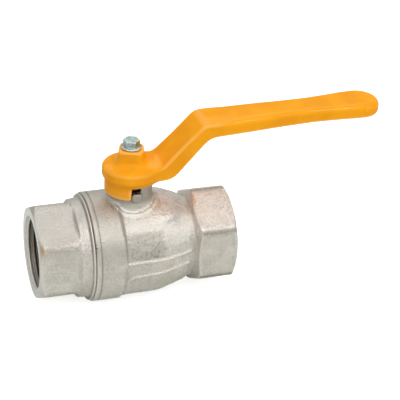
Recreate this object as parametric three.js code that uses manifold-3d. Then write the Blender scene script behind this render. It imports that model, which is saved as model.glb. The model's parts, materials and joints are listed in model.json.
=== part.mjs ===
// Ball valve for 1 inch pipe: full bore, female threads, cranked lever handle.
// Millimetres, +Z up. The pieces are laid out around the ball's centre, with the pipe
// along X and the stem along Z, and the finished group is then moved so that its origin
// is the bottom centre of its bounding box. The valve is drawn open.
import * as THREE from 'three';
import { mergeVertices } from 'three/addons/utils/BufferGeometryUtils.js';
import Module from 'manifold-3d';

const wasm = await Module();
wasm.setup();

// General
const GAP = 0.3;
const OVERSHOOT = 1;
const LARGE_SEGMENTS = 40;
const BALL_SEGMENTS = 32;
const SMALL_SEGMENTS = 24;
const CORD_SEGMENTS = 8;
const CURVE_SEGMENTS = 4;
const BALL_ARC_STEPS = 12;
const SEAT_ARC_STEPS = 2;

// Hex ends and their pipe threads, cut here at the thread's minor radius
const LEFT_FACE_X = -44.4;
const RIGHT_FACE_X = 45.5;
const RIGHT_HEX_FLATS = 41;
const LEFT_HEX_FLATS = 40.5;
const HEX_SIDES = 6;
const HEX_CORNER_TRIM = 0.84;
const HEX_INNER_CHAMFER = 2;
const FACE_RING_R = 20.1;
const HEX_CHAMFER_SLOPE = Math.tan(THREE.MathUtils.degToRad(30));
const THREAD_MINOR_R = 15.15;
const THREAD_LENGTH = 14.5;
const COUNTERSINK_R = 16.6;
const COUNTERSINK_DEPTH = 1.7;
const RUNOUT_R = 16.9;
const RUNOUT_WIDTH = 1.6;
const PORT_CONE_LENGTH = 4;

// Ball, ports and seats
const BALL_R = 18;
const PORT_R = 12.5;
const SEAT_FRONT_X = 9.5;
const SEAT_BACK_X = 15.2;
const SEAT_INNER_R = 12.8;
const SEAT_OUTER_R = 17.2;
const SLOT_FLOOR_Z = 14.4;
const SLOT_HALF_WIDTH = 2.8;

// Body forging
const RIM_X = -20.5;
const RIM_R = 24.7;
const RIM_CHAMFER = 0.8;
const RIM_END_X = -8;
const BARREL_X = -6.2;
const BARREL_R = 23.2;
const SHOULDER_START_X = 7.5;
const SHOULDER_CORNER_X = 10.5;
const TAPER_END_X = 14.5;
const TAPER_END_R = 21.85;
const WAIST_X = 26.2;
const WAIST_R = 18.3;
const RIGHT_HEX_X = 27;
const CAVITY_R = 18.6;
const CAVITY_HALF_LENGTH = 9.2;
const TAIL_SOCKET_R = 20.7;

// End adapter
const LIP_R = 24.1;
const LIP_X = -21.7;
const COLLAR_R = 22.3;
const COLLAR_END_X = -25.9;
const LEFT_HEX_END_X = -24.2;
const TAIL_R = 20.4;
const TAIL_END_X = -9.5;
const LEFT_HEX_TWIST = THREE.MathUtils.degToRad(-2.8);

// Stem neck and its bore
const NECK_R = 9.75;
const NECK_TOP_Z = 33.7;
const NECK_BORE_R = 5.6;
const COLLAR_BORE_R = 7.6;
const NECK_SHOULDER_Z = 22.5;
const LUG_HALF_WIDTH = 2;
const LUG_BOTTOM_Z = 26.6;
const LUG_TOP_Z = 30.4;
const LUG_FACE_Y = -11.9;
const NOTCH_FLOOR_Y = -7.4;

// Stem
const STEM_R = 5.4;
const STEM_COLLAR_R = 7.2;
const STEM_COLLAR_BOTTOM_Z = 19.3;
const STEM_COLLAR_TOP_Z = 21;
const STEM_SHOULDER_Z = 33.9;
const STEM_TOP_Z = 42;
const SQUARE_HALF = 3.9;
const SQUARE_CORNER_R = 5.1;
const TANG_HALF_LENGTH = 6.6;
const STEM_HOLE_R = 2.2;
const STEM_HOLE_BOTTOM_Z = 32.4;
const O_RING_CENTRES_Z = { lower: 25.2, upper: 29.2 };
const O_RING_CORD_R = 0.7;
const O_RING_CENTRE_R = 4.85;
const O_RING_GROOVE_R = 4;
const O_RING_GROOVE_WIDTH = 2;

// Lever handle
const HUB_R = 12.9;
const HUB_BOTTOM_Z = 34.2;
const HUB_TOP_Z = 40.6;
const SKIRT_OUTER_R = 11.5;
const SKIRT_INNER_R = 10.1;
const SKIRT_BOTTOM_Z = 27.3;
const WINDOW_TOP_Z = 33.2;
const WINDOW_MARGIN_DEG = 12.3;
const BOSS_TOP_R = 5.4;
const BOSS_BASE_R = 6.2;
const BOSS_TOP_Z = 47.6;
const HUB_FLAT_TOP_X = 9;
const HUB_FLAT_BOTTOM_X = 12;
const CRANK_TOP_START = new THREE.Vector2(14.5, 43.2);
const CRANK_TOP_END = new THREE.Vector2(28, 56.7);
const CRANK_TOP_FOOT_X = 12;
const CRANK_TOP_HEAD_X = 31;
const CRANK_UNDERSIDE_START = new THREE.Vector2(19.5, 37);
const CRANK_UNDERSIDE_END = new THREE.Vector2(29, 47.6);
const CRANK_UNDERSIDE_FOOT_X = 16.5;
const CRANK_UNDERSIDE_HEAD_X = 33;
const ARM_CRANK_X = 34.5;
const ARM_UNDERSIDE_X = 37.5;
const ARM_TOP_Z = 59.5;
const ARM_BOTTOM_Z = 52.9;
const ARM_RISE = 0.036;
const LEVER_TIP_X = 115.6;
const TIP_R = 9.5;
const CHANNEL_SKIN = 2.6;
const CHANNEL_WALL = 2.2;
const CHANNEL_START_X = 18;
const CHANNEL_DROP = 6;
// Half widths of the lever along X, seen from above, before the rounded tip
const ARM_HALF_WIDTHS = [
  [12, 9.2],
  [18, 8.4],
  [28, 8.5],
  [37, 9],
  [50, 8.5],
  [65, 7.7],
  [82, 7.35],
  [95, 8.3],
];

// Handle screw, M4 with a flanged hex head
const SCREW_FLATS = 6.5;
const SCREW_FLANGE_R = 4.5;
const SCREW_FLANGE_BEVEL = 0.4;
const SCREW_FLANGE_HEIGHT = 0.8;
const SCREW_HEAD_TOP_Z = 51.3;
const SCREW_SHANK_R = 1.9;
const SCREW_END_Z = 33;

const BRASS_NICKEL = { color: 0xb9b4aa, roughness: 0.55, metalness: 0.9 };
const CHROME = { color: 0xd5d8dc, roughness: 0.12, metalness: 1 };
const BRASS = { color: 0xc7a252, roughness: 0.35, metalness: 1 };
const PTFE = { color: 0xf0efe9, roughness: 0.6, metalness: 0 };
const NITRILE = { color: 0x1b1b1c, roughness: 0.75, metalness: 0 };
const ORANGE_COATING = { color: 0xf5a20c, roughness: 0.35, metalness: 0 };
const ZINC = { color: 0xa5b5ae, roughness: 0.4, metalness: 1 };

function signedVolume(positions, triangles) {
  const a = new THREE.Vector3();
  const b = new THREE.Vector3();
  const c = new THREE.Vector3();
  let volume = 0;
  for (let i = 0; i < triangles.length; i += 3) {
    a.fromArray(positions, 3 * triangles[i]);
    b.fromArray(positions, 3 * triangles[i + 1]);
    c.fromArray(positions, 3 * triangles[i + 2]);
    volume += a.dot(b.cross(c)) / 6;
  }
  return volume;
}

// A closed geometry as a solid, with shared vertices merged and its faces turned outwards.
function toSolid(geometry) {
  const bare = geometry.clone();
  bare.deleteAttribute('normal');
  bare.deleteAttribute('uv');
  const merged = mergeVertices(bare, 1e-4);
  const vertProperties = Float32Array.from(merged.attributes.position.array);
  const source = merged.index.array;
  const triangles = [];
  for (let i = 0; i < source.length; i += 3) {
    const [a, b, c] = [source[i], source[i + 1], source[i + 2]];
    if (a !== b && b !== c && c !== a) {
      triangles.push(a, b, c);
    }
  }
  if (signedVolume(vertProperties, triangles) < 0) {
    triangles.reverse();
  }
  const triVerts = Uint32Array.from(triangles);
  return new wasm.Manifold(new wasm.Mesh({ numProp: 3, vertProperties, triVerts }));
}

function toMesh(name, solid, look) {
  const { vertProperties, triVerts } = solid.getMesh();
  const geometry = new THREE.BufferGeometry();
  geometry.setAttribute('position', new THREE.Float32BufferAttribute(vertProperties, 3));
  geometry.setIndex(new THREE.Uint32BufferAttribute(triVerts, 1));
  geometry.computeVertexNormals();
  const mesh = new THREE.Mesh(geometry, new THREE.MeshStandardMaterial(look));
  mesh.name = name;
  return mesh;
}

// Profiles hold [radius, distance along the axis] pairs.
function latheGeometry(profile, segments) {
  return new THREE.LatheGeometry(profile.map(([r, d]) => new THREE.Vector2(r, d)), segments);
}

function turnedAboutX(profile, segments = LARGE_SEGMENTS) {
  return toSolid(latheGeometry(profile, segments).rotateZ(-Math.PI / 2));
}

function turnedAboutZ(profile, segments = LARGE_SEGMENTS) {
  return toSolid(latheGeometry(profile, segments).rotateX(Math.PI / 2));
}

function box(low, high) {
  const size = high.map((value, i) => value - low[i]);
  const geometry = new THREE.BoxGeometry(...size);
  geometry.translate(...low.map((value, i) => value + size[i] / 2));
  return toSolid(geometry);
}

function cylinderZ(radius, bottom, top, segments = SMALL_SEGMENTS, topRadius = radius) {
  const profile = [[0, bottom], [radius, bottom], [topRadius, top], [0, top]];
  return turnedAboutZ(profile, segments);
}

// A shape drawn in X and Y, raised along Z.
function raised(shape, bottom, top) {
  const options = { depth: top - bottom, bevelEnabled: false, curveSegments: CURVE_SEGMENTS };
  return toSolid(new THREE.ExtrudeGeometry(shape, options).translate(0, 0, bottom));
}

// A shape drawn in X and Z, widened along Y to both sides.
function widened(shape, halfWidth) {
  const options = { depth: 2 * halfWidth, bevelEnabled: false, curveSegments: CURVE_SEGMENTS };
  const geometry = new THREE.ExtrudeGeometry(shape, options);
  return toSolid(geometry.rotateX(Math.PI / 2).translate(0, halfWidth, 0));
}

// Hexagon with a corner at the top and small flats on its corners. It runs along X from
// startX to faceX, where its corners are chamfered down to the flat ring. Its corners are
// chamfered at startX too, where its flats begin.
function hexEnd(startX, faceX, flats, twist) {
  const cornerR = flats / Math.sqrt(3);
  const outward = Math.sign(faceX);
  const low = Math.min(startX, faceX);
  const high = Math.max(startX, faceX);
  const prism = new THREE.CylinderGeometry(cornerR, cornerR, high - low, HEX_SIDES);
  prism.rotateZ(-Math.PI / 2).rotateX(twist).translate((low + high) / 2, 0, 0);
  const trimR = cornerR - HEX_CORNER_TRIM;
  const trim = new THREE.CylinderGeometry(trimR, trimR, high - low, 2 * HEX_SIDES);
  const trimTurn = Math.PI / (2 * HEX_SIDES);
  const trimScale = 1 / Math.cos(trimTurn);
  trim.scale(trimScale, 1, trimScale).rotateY(trimTurn);
  trim.rotateZ(-Math.PI / 2).rotateX(twist).translate((low + high) / 2, 0, 0);
  const chamferDepth = (cornerR - FACE_RING_R) * HEX_CHAMFER_SLOPE;
  const chamfer = turnedAboutX([
    [0, faceX],
    [FACE_RING_R, faceX],
    [cornerR, faceX - outward * chamferDepth],
    [cornerR, startX + outward * HEX_INNER_CHAMFER],
    [flats / 2, startX],
    [0, startX],
  ]);
  return toSolid(prism).intersect(toSolid(trim)).intersect(chamfer);
}

// The hollow of an end, from the seat pocket out through the port and the pipe thread.
function socketHollow(faceX) {
  const side = Math.sign(faceX);
  const runoutOuterX = faceX - side * THREAD_LENGTH;
  const runoutInnerX = runoutOuterX - side * RUNOUT_WIDTH;
  return [
    [SEAT_OUTER_R + GAP, side * (SEAT_BACK_X + GAP)],
    [PORT_R, side * (SEAT_BACK_X + GAP)],
    [PORT_R, runoutInnerX - side * PORT_CONE_LENGTH],
    [THREAD_MINOR_R, runoutInnerX],
    [RUNOUT_R, runoutInnerX],
    [RUNOUT_R, runoutOuterX],
    [THREAD_MINOR_R, runoutOuterX + side * (RUNOUT_R - THREAD_MINOR_R)],
    [THREAD_MINOR_R, faceX - side * COUNTERSINK_DEPTH],
    [COUNTERSINK_R, faceX],
    [COUNTERSINK_R, faceX + side * OVERSHOOT],
    [0, faceX + side * OVERSHOOT],
  ];
}

function bodyOutline() {
  const path = new THREE.Path();
  path.moveTo(0, RIM_X);
  path.lineTo(RIM_R - RIM_CHAMFER, RIM_X);
  path.lineTo(RIM_R, RIM_X + RIM_CHAMFER);
  path.lineTo(RIM_R, RIM_END_X);
  path.lineTo(BARREL_R, BARREL_X);
  path.lineTo(BARREL_R, SHOULDER_START_X);
  path.quadraticCurveTo(BARREL_R, SHOULDER_CORNER_X, TAPER_END_R, TAPER_END_X);
  path.lineTo(WAIST_R, WAIST_X);
  path.lineTo(WAIST_R, RIGHT_HEX_X + OVERSHOOT);
  path.lineTo(0, RIGHT_HEX_X + OVERSHOOT);
  return path.getPoints(CURVE_SEGMENTS).map(({ x, y }) => [x, y]);
}

function valveBody() {
  const barrel = turnedAboutX(bodyOutline());
  const hex = hexEnd(RIGHT_HEX_X, RIGHT_FACE_X, RIGHT_HEX_FLATS, 0);
  const neck = cylinderZ(NECK_R, BALL_R, NECK_TOP_Z, LARGE_SEGMENTS);
  const lug = box(
    [-LUG_HALF_WIDTH, LUG_FACE_Y, LUG_BOTTOM_Z],
    [LUG_HALF_WIDTH, NOTCH_FLOOR_Y, LUG_TOP_Z],
  );
  const notch = box(
    [-LUG_HALF_WIDTH, LUG_FACE_Y, LUG_TOP_Z],
    [LUG_HALF_WIDTH, NOTCH_FLOOR_Y, NECK_TOP_Z + OVERSHOOT],
  );
  const hollow = turnedAboutX([
    [0, RIM_X - OVERSHOOT],
    [TAIL_SOCKET_R, RIM_X - OVERSHOOT],
    [TAIL_SOCKET_R, -CAVITY_HALF_LENGTH],
    [CAVITY_R, -CAVITY_HALF_LENGTH],
    [CAVITY_R, CAVITY_HALF_LENGTH],
    [SEAT_OUTER_R + GAP, CAVITY_HALF_LENGTH],
    ...socketHollow(RIGHT_FACE_X),
  ]);
  const stemBore = turnedAboutZ([
    [0, SLOT_FLOOR_Z],
    [COLLAR_BORE_R, SLOT_FLOOR_Z],
    [COLLAR_BORE_R, NECK_SHOULDER_Z],
    [NECK_BORE_R, NECK_SHOULDER_Z],
    [NECK_BORE_R, NECK_TOP_Z + OVERSHOOT],
    [0, NECK_TOP_Z + OVERSHOOT],
  ]);
  return barrel.add(hex).add(neck).add(lug).subtract(notch).subtract(hollow).subtract(stemBore);
}

function endAdapter() {
  const outer = turnedAboutX([
    [0, TAIL_END_X],
    [TAIL_R, TAIL_END_X],
    [TAIL_R, RIM_X - GAP],
    [LIP_R, RIM_X - GAP],
    [LIP_R, LIP_X],
    [COLLAR_R, LIP_X],
    [COLLAR_R, COLLAR_END_X],
    [0, COLLAR_END_X],
  ]);
  const hollow = turnedAboutX([
    [0, TAIL_END_X + OVERSHOOT],
    [SEAT_OUTER_R + GAP, TAIL_END_X + OVERSHOOT],
    ...socketHollow(LEFT_FACE_X),
  ]);
  const hex = hexEnd(LEFT_HEX_END_X, LEFT_FACE_X, LEFT_HEX_FLATS, LEFT_HEX_TWIST);
  return outer.add(hex).subtract(hollow);
}

function arcPoints(radius, startAngle, endAngle, steps) {
  return Array.from({ length: steps + 1 }, (_, i) => {
    const angle = THREE.MathUtils.lerp(startAngle, endAngle, i / steps);
    return [radius * Math.sin(angle), radius * Math.cos(angle)];
  });
}

function ball() {
  const portAngle = Math.asin(PORT_R / BALL_R);
  const skin = arcPoints(BALL_R, Math.PI - portAngle, portAngle, BALL_ARC_STEPS);
  const bored = turnedAboutX([...skin, skin[0]], BALL_SEGMENTS);
  const slot = box(
    [-SLOT_HALF_WIDTH, -BALL_R - OVERSHOOT, SLOT_FLOOR_Z],
    [SLOT_HALF_WIDTH, BALL_R + OVERSHOOT, BALL_R + OVERSHOOT],
  );
  return bored.subtract(slot);
}

function seatRing(side) {
  const touchR = BALL_R + GAP;
  const innerAngle = Math.asin(SEAT_INNER_R / touchR);
  const outerAngle = Math.acos(SEAT_FRONT_X / touchR);
  const face = arcPoints(touchR, innerAngle, outerAngle, SEAT_ARC_STEPS);
  const profile = [
    ...face,
    [SEAT_OUTER_R, SEAT_FRONT_X],
    [SEAT_OUTER_R, SEAT_BACK_X],
    [SEAT_INNER_R, SEAT_BACK_X],
    face[0],
  ];
  return turnedAboutX(profile.map(([r, x]) => [r, side * x]));
}

function stem() {
  const { lower, upper } = O_RING_CENTRES_Z;
  const half = O_RING_GROOVE_WIDTH / 2;
  const shaft = turnedAboutZ([
    [0, STEM_COLLAR_BOTTOM_Z],
    [STEM_COLLAR_R, STEM_COLLAR_BOTTOM_Z],
    [STEM_COLLAR_R, STEM_COLLAR_TOP_Z],
    [STEM_R, STEM_COLLAR_TOP_Z],
    [STEM_R, lower - half],
    [O_RING_GROOVE_R, lower - half],
    [O_RING_GROOVE_R, lower + half],
    [STEM_R, lower + half],
    [STEM_R, upper - half],
    [O_RING_GROOVE_R, upper - half],
    [O_RING_GROOVE_R, upper + half],
    [STEM_R, upper + half],
    [STEM_R, STEM_SHOULDER_Z],
    [0, STEM_SHOULDER_Z],
  ], SMALL_SEGMENTS);
  const square = box(
    [-SQUARE_HALF, -SQUARE_HALF, STEM_SHOULDER_Z - OVERSHOOT],
    [SQUARE_HALF, SQUARE_HALF, STEM_TOP_Z],
  ).intersect(cylinderZ(SQUARE_CORNER_R, STEM_COLLAR_TOP_Z, STEM_TOP_Z));
  const tangHalfWidth = SLOT_HALF_WIDTH - GAP;
  const tang = box(
    [-tangHalfWidth, -TANG_HALF_LENGTH, SLOT_FLOOR_Z + GAP],
    [tangHalfWidth, TANG_HALF_LENGTH, STEM_COLLAR_BOTTOM_Z + GAP],
  );
  const hole = cylinderZ(STEM_HOLE_R, STEM_HOLE_BOTTOM_Z, STEM_TOP_Z + OVERSHOOT);
  return shaft.add(square).add(tang).subtract(hole);
}

function thrustWasher() {
  const bottom = STEM_COLLAR_TOP_Z + GAP;
  const top = NECK_SHOULDER_Z - GAP;
  const innerR = STEM_R + GAP;
  return turnedAboutZ([
    [innerR, bottom],
    [STEM_COLLAR_R, bottom],
    [STEM_COLLAR_R, top],
    [innerR, top],
    [innerR, bottom],
  ], SMALL_SEGMENTS);
}

function oRing(centreZ) {
  const sizes = [O_RING_CENTRE_R, O_RING_CORD_R, CORD_SEGMENTS, SMALL_SEGMENTS];
  const torus = new THREE.TorusGeometry(...sizes);
  return toSolid(torus.translate(0, 0, centreZ));
}

// The lever's side view. The skin lowers its top and the drop lowers its underside.
function leverSide(skin, drop) {
  const shape = new THREE.Shape();
  const tipRise = ARM_RISE * (LEVER_TIP_X - ARM_CRANK_X);
  const hubBottom = HUB_BOTTOM_Z - drop;
  const hubTop = HUB_TOP_Z - skin;
  const armBottom = ARM_BOTTOM_Z - drop;
  const armTop = ARM_TOP_Z - skin;
  const underStart = CRANK_UNDERSIDE_START;
  shape.moveTo(0, hubBottom);
  shape.lineTo(HUB_FLAT_BOTTOM_X, hubBottom);
  shape.quadraticCurveTo(CRANK_UNDERSIDE_FOOT_X, hubBottom, underStart.x, underStart.y - drop);
  shape.lineTo(CRANK_UNDERSIDE_END.x, CRANK_UNDERSIDE_END.y - drop);
  shape.quadraticCurveTo(CRANK_UNDERSIDE_HEAD_X, armBottom, ARM_UNDERSIDE_X, armBottom);
  shape.lineTo(LEVER_TIP_X, armBottom + tipRise);
  shape.lineTo(LEVER_TIP_X, armTop + tipRise);
  shape.lineTo(ARM_CRANK_X, armTop);
  shape.quadraticCurveTo(CRANK_TOP_HEAD_X, armTop, CRANK_TOP_END.x, CRANK_TOP_END.y - skin);
  shape.lineTo(CRANK_TOP_START.x, CRANK_TOP_START.y - skin);
  shape.quadraticCurveTo(CRANK_TOP_FOOT_X, hubTop, HUB_FLAT_TOP_X, hubTop);
  shape.lineTo(0, hubTop);
  return shape;
}

// The arm seen from above, drawn in by the inset.
function armPlan(startX, inset) {
  const beyondStart = ARM_HALF_WIDTHS.filter(([x]) => x > startX);
  const nearSide = beyondStart.map(([x, w]) => new THREE.Vector2(x, w - inset));
  const farSide = beyondStart.map(([x, w]) => new THREE.Vector2(x, inset - w)).reverse();
  const tipCentreX = LEVER_TIP_X - TIP_R;
  const tipR = TIP_R - inset;
  const shape = new THREE.Shape();
  shape.moveTo(startX, nearSide[0].y);
  shape.splineThru([...nearSide, new THREE.Vector2(tipCentreX, tipR)]);
  shape.absarc(tipCentreX, 0, tipR, Math.PI / 2, -Math.PI / 2, true);
  shape.splineThru(farSide);
  shape.lineTo(startX, -nearSide[0].y);
  return shape;
}

function windowWedge() {
  const start = THREE.MathUtils.degToRad(-90 - WINDOW_MARGIN_DEG);
  const end = THREE.MathUtils.degToRad(WINDOW_MARGIN_DEG);
  const shape = new THREE.Shape();
  shape.moveTo(0, 0);
  shape.absarc(0, 0, 2 * HUB_R, start, end, false);
  shape.lineTo(0, 0);
  return raised(shape, SKIRT_BOTTOM_Z - OVERSHOOT, WINDOW_TOP_Z);
}

function leverHandle() {
  const abovePlan = ARM_TOP_Z + ARM_RISE * LEVER_TIP_X + OVERSHOOT;
  const arm = widened(leverSide(0, 0), HUB_R).intersect(
    raised(armPlan(0, 0), HUB_BOTTOM_Z - OVERSHOOT, abovePlan),
  );
  const channel = widened(leverSide(CHANNEL_SKIN, CHANNEL_DROP), HUB_R).intersect(
    raised(armPlan(CHANNEL_START_X, CHANNEL_WALL), HUB_BOTTOM_Z - CHANNEL_DROP, abovePlan),
  );
  const hub = cylinderZ(HUB_R, HUB_BOTTOM_Z, HUB_TOP_Z, LARGE_SEGMENTS);
  const boss = cylinderZ(BOSS_BASE_R, HUB_TOP_Z - OVERSHOOT, BOSS_TOP_Z, SMALL_SEGMENTS, BOSS_TOP_R);
  const skirt = turnedAboutZ([
    [SKIRT_INNER_R, SKIRT_BOTTOM_Z],
    [SKIRT_OUTER_R, SKIRT_BOTTOM_Z],
    [SKIRT_OUTER_R, HUB_BOTTOM_Z + OVERSHOOT],
    [SKIRT_INNER_R, HUB_BOTTOM_Z + OVERSHOOT],
    [SKIRT_INNER_R, SKIRT_BOTTOM_Z],
  ]).subtract(windowWedge());
  const socketHalf = SQUARE_HALF + GAP;
  const socket = box(
    [-socketHalf, -socketHalf, HUB_BOTTOM_Z - OVERSHOOT],
    [socketHalf, socketHalf, STEM_TOP_Z + GAP],
  ).intersect(cylinderZ(SQUARE_CORNER_R + GAP, HUB_BOTTOM_Z - OVERSHOOT, STEM_TOP_Z + GAP));
  const screwHole = cylinderZ(STEM_HOLE_R, HUB_TOP_Z, BOSS_TOP_Z + OVERSHOOT);
  return arm.subtract(channel).add(hub).add(boss).add(skirt).subtract(socket).subtract(screwHole);
}

function handleScrew() {
  const flangeBottom = BOSS_TOP_Z + GAP;
  const flangeTop = flangeBottom + SCREW_FLANGE_HEIGHT;
  const flangeTopR = SCREW_FLANGE_R - SCREW_FLANGE_BEVEL;
  const flange = cylinderZ(SCREW_FLANGE_R, flangeBottom, flangeTop, SMALL_SEGMENTS, flangeTopR);
  const head = cylinderZ(SCREW_FLATS / Math.sqrt(3), flangeBottom, SCREW_HEAD_TOP_Z, 6);
  const shank = cylinderZ(SCREW_SHANK_R, SCREW_END_Z, flangeTop);
  return flange.add(head).add(shank);
}

const valve = new THREE.Group();
valve.add(
  toMesh('valve_body', valveBody(), BRASS_NICKEL),
  toMesh('end_adapter', endAdapter(), BRASS_NICKEL),
  toMesh('ball', ball(), CHROME),
  toMesh('seat_ring_left', seatRing(-1), PTFE),
  toMesh('seat_ring_right', seatRing(1), PTFE),
  toMesh('stem', stem(), BRASS),
  toMesh('stem_thrust_washer', thrustWasher(), PTFE),
  toMesh('stem_o_ring_lower', oRing(O_RING_CENTRES_Z.lower), NITRILE),
  toMesh('stem_o_ring_upper', oRing(O_RING_CENTRES_Z.upper), NITRILE),
  toMesh('lever_handle', leverHandle(), ORANGE_COATING),
  toMesh('handle_screw', handleScrew(), ZINC),
);
valve.position.set(-(LEFT_FACE_X + LEVER_TIP_X) / 2, 0, RIM_R);

const part = new THREE.Group();
part.add(valve);

export default part;
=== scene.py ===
"""Ball valve for 1 inch pipe: the visual model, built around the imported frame.

Shapes are worked out in millimetres around the ball's centre, with the pipe along X and
the stem along Z. The forged, cast and cut pieces are distance fields turned into meshes,
and the plain rings are turned profiles.
"""

import json
import math

import bpy
import numpy as np
import openvdb
from mathutils import Matrix, Vector


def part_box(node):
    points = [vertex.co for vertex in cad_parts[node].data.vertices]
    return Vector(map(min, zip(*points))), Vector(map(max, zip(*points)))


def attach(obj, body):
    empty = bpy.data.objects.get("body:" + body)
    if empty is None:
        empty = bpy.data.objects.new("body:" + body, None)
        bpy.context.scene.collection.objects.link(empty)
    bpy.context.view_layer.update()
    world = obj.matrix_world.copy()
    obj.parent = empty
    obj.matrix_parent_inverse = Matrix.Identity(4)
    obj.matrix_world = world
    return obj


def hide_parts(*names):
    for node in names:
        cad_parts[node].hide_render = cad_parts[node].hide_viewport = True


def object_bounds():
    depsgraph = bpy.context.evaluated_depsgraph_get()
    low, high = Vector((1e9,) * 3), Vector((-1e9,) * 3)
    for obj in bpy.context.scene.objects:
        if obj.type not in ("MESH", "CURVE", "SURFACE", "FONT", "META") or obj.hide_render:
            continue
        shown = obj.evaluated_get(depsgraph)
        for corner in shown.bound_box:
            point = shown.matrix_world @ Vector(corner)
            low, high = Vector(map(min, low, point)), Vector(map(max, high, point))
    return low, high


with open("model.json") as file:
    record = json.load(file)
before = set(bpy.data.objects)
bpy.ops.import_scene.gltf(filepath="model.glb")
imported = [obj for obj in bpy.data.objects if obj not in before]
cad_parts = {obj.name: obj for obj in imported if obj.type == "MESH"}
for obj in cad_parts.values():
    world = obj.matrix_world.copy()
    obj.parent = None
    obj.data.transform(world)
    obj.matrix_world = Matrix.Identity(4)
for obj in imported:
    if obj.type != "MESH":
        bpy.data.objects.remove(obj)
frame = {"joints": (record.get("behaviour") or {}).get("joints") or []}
cad_low, cad_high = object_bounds()

MM = 0.001
CENTRE = Vector(frame["joints"][0]["pos_m"])
BELOW_AXIS = -6.0  # turned outlines start on the far side of their axis
FIT = 0.3  # clearance between neighbouring pieces


def limits(node):
    """A node's lowest and highest corners in millimetres around the ball's centre."""
    return [(corner - CENTRE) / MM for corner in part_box(node)]


body_low, body_high = limits("valve_body")
adapter_low, adapter_high = limits("end_adapter")
lever_low, lever_high = limits("lever_handle")
screw_low, screw_high = limits("handle_screw")
stem_low, stem_high = limits("stem")
ball_low, ball_high = limits("ball")
seat_low, seat_high = limits("seat_ring_right")
washer_low, washer_high = limits("stem_thrust_washer")

# Housing
RIM_X = body_low.x
RIM_R = -body_low.z
RIGHT_FACE_X = body_high.x
LEFT_FACE_X = adapter_low.x
NECK_TOP_Z = body_high.z
RIM_END_X = -8.0
BARREL_X = -6.2
BARREL_R = RIM_R - 1.6
UPPER_SHOULDER = (15.4, BARREL_R + 0.4, 20.0)  # x, radius and rounding of the corner
LOWER_SHOULDER = (10.6, BARREL_R - 0.05, 14.0)
WAIST_X = 26.2
WAIST_R = 18.3
RIGHT_HEX_X = 27.3
RIGHT_HEX_FLATS = 41.0
RIGHT_HEX_TRIM = 3.2
RIGHT_HEX_SLOPE = math.radians(24)
LEFT_HEX_X = -25.4
LEFT_HEX_FLATS = 40.5
LEFT_HEX_TRIM = 2.1
LEFT_HEX_SLOPE = math.radians(35)
LEFT_HEX_TWIST = math.radians(-2.8)
FACE_RING_R = 20.1
JOINT_GAP = 0.06
LIP_R = 24.1
LIP_X = -21.7
COLLAR_R = 22.4
COLLAR_X = -26.2
RIDGE_PITCH = 1.3
TAIL_R = 20.4
NECK_R = 9.75
NECK_BORE_R = 5.6
STEM_COLLAR_BORE_R = 7.6
BALL_CAVITY_R = 18.6
PORT_R = 12.5

# G1 pipe thread
THREAD_PITCH = 2.309
THREAD_MINOR_R = 15.15
THREAD_MAJOR_R = 16.62
THREAD_LENGTH = 14.5
RUNOUT_WIDTH = 1.6
RUNOUT_R = 16.9
COUNTERSINK_R = 16.7
COUNTERSINK_DEPTH = 1.7

# Stop lug on the neck
LUG_HALF_WIDTH = 2.15
LUG_FACE_Y = -11.9
LUG_BOTTOM_Z = 26.5
LUG_TOP_Z = 30.4
NOTCH_FLOOR_Y = -7.4

# Stem
SHAFT_R = 5.4
GROOVE_R = 4.0
GROOVE_HALF_WIDTH = 1.0
STEM_COLLAR_R = 7.2
STEM_COLLAR_THICKNESS = 1.7
STEM_SHOULDER_Z = NECK_TOP_Z + 0.2
STEM_SQUARE_HALF = 3.9
STEM_SQUARE_CORNER_R = 5.1
SCREW_HOLE_R = 2.2
TANG_HALF_WIDTH = 2.5
TANG_R = 6.6
SLOT_HALF_WIDTH = TANG_HALF_WIDTH + FIT
O_RINGS = ("stem_o_ring_lower", "stem_o_ring_upper")

# Lever
HUB_R = -lever_low.x
HUB_BOTTOM_Z = 34.2
HUB_EDGE_Z = 39.7
SKIRT_R = 11.5
SKIRT_WALL = 1.4
WINDOW_TOP_Z = 33.2
WINDOW_MARGIN = math.radians(12.3)
BOSS_TOP_Z = screw_low.z + 14.6
BOSS_TURN = math.radians(20)
BOSS_HALF_WIDTH = 6.1
BOSS_TAPER = 0.75
TIP_R = 9.5
TIP_X = lever_high.x
SKIN = 2.6
WALL = 2.2

# Screw
SCREW_FLATS = 6.5
SCREW_TOP_Z = screw_high.z + 0.4
SCREW_PITCH = 0.7
FLANGE_R = screw_high.x
FLANGE_BOTTOM_Z = BOSS_TOP_Z + FIT

# Distance between samples
BODY_STEP = 0.28
LEVER_STEP = 0.27
SMALL_STEP = 0.11


def unit(vector):
    return vector / np.linalg.norm(vector)


def smoothstep(value, start, end):
    share = np.clip((value - start) / (end - start), 0, 1)
    return share * share * (3 - 2 * share)


def window(value, low, high, edge=0.6):
    """1 between low and high, falling softly to 0 outside."""
    return smoothstep(value, low - edge, low) * smoothstep(-value, -high - edge, -high)


def bead(offset, width):
    return np.exp(-((offset / width) ** 2))


def smooth_union(a, b, radius):
    share = np.clip(0.5 + 0.5 * (b - a) / radius, 0, 1)
    return b + (a - b) * share - radius * share * (1 - share)


def round_common(a, b, radius):
    """What lies in both solids, with the edge between them rounded."""
    inside = np.minimum(np.maximum(a, b) + radius, 0)
    return inside + np.hypot(np.maximum(a + radius, 0), np.maximum(b + radius, 0)) - radius


def cut(solid, tool):
    return np.maximum(solid, -tool)


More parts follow.
